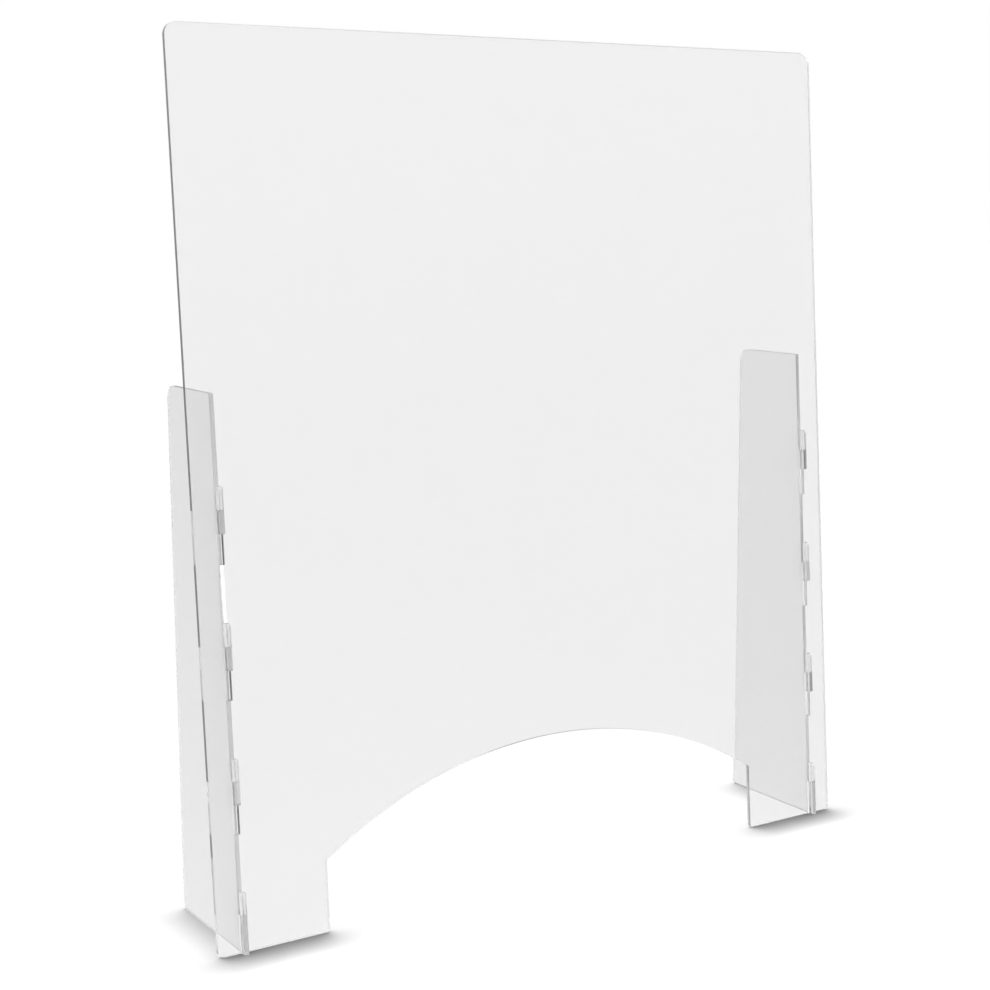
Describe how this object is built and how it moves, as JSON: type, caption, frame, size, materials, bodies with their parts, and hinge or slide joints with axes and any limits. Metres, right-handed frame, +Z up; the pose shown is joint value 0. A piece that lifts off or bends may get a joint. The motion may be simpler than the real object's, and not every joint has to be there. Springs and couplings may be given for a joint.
{
  "type": "desk privacy panel",
  "caption": "Free-standing clear desk shield with an arched pass-through, hung on hooked fins that stand square behind its side edges.",
  "frame": {"origin": "middle of the footprint on the desk: mid-width of the panel, mid-depth of the fins' feet", "axes": "+X to the right seen from the front, +Y to the back, where the fins stand, +Z up"},
  "size_m": [0.8128, 0.1514, 0.9126],
  "materials": {
    "shield_panel": "clear polished acrylic sheet with fine machined edges",
    "support_fin_left": "clear polished acrylic sheet with fine machined edges",
    "support_fin_right": "clear polished acrylic sheet with fine machined edges"
  },
  "bodies": {
    "left_fin": {"support_fin_left": "support_fin_left"},
    "panel": {"shield_panel": "shield_panel"},
    "right_fin": {"support_fin_right": "support_fin_right"}
  },
  "joints": [
    {"name": "panel_lift", "type": "slide", "parent": "left_fin", "child": "panel", "axis": [0, 0.068, 0.9977], "range_m": [0, 0.03]},
    {"name": "right_fin_drop", "type": "slide", "parent": "panel", "child": "right_fin", "axis": [0, -0.068, -0.9977], "range_m": [0, 0.03]}
  ],
  "couplings": [
    {"joint": "right_fin_drop", "follows": "panel_lift", "ratio": 1}
  ]
}
